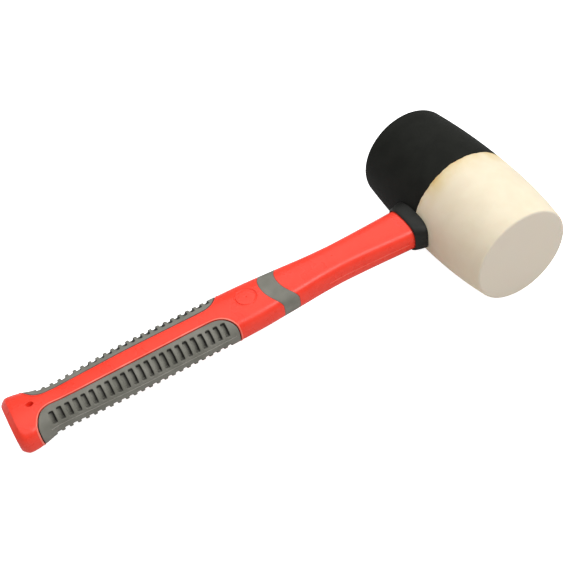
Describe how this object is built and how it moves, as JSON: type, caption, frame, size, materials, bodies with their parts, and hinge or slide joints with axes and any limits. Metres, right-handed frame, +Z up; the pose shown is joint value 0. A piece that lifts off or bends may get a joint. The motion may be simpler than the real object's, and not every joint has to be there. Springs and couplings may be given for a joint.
{
  "type": "rubber mallet",
  "caption": "Double-faced rubber mallet with a barrel-shaped black and white rubber head, a fibreglass-cored red handle, grey soft-grip panels and a rubber neck collar.",
  "frame": {"origin": "middle of the footprint on the ground, under the mallet lying on its side", "axes": "+Z up; the handle runs towards -X and the head is at the +X end; the white face looks towards -Y and the black face towards +Y; the handle drops slightly towards its butt because the head is thicker than the handle"},
  "size_m": [0.3262, 0.1168, 0.07],
  "materials": {
    "black_rubber": "matt moulded rubber",
    "white_rubber": "matt cream-white non-marking rubber",
    "collar_rubber": "satin charcoal rubber",
    "red_plastic": "satin-gloss moulded polypropylene",
    "grey_grip": "matt soft-touch thermoplastic rubber",
    "glass_fibre": "pultruded glass-fibre rod, cut end",
    "epoxy": "cured epoxy, slightly glossy"
  },
  "bodies": {
    "root": {"black_head_half": "black_rubber", "white_head_half": "white_rubber", "neck_collar": "collar_rubber", "handle_jacket": "red_plastic", "grip_front": "grey_grip", "grip_back": "grey_grip", "shaft_band": "grey_grip", "fibreglass_core": "glass_fibre", "eye_bond": "epoxy"}
  },
  "joints": []
}
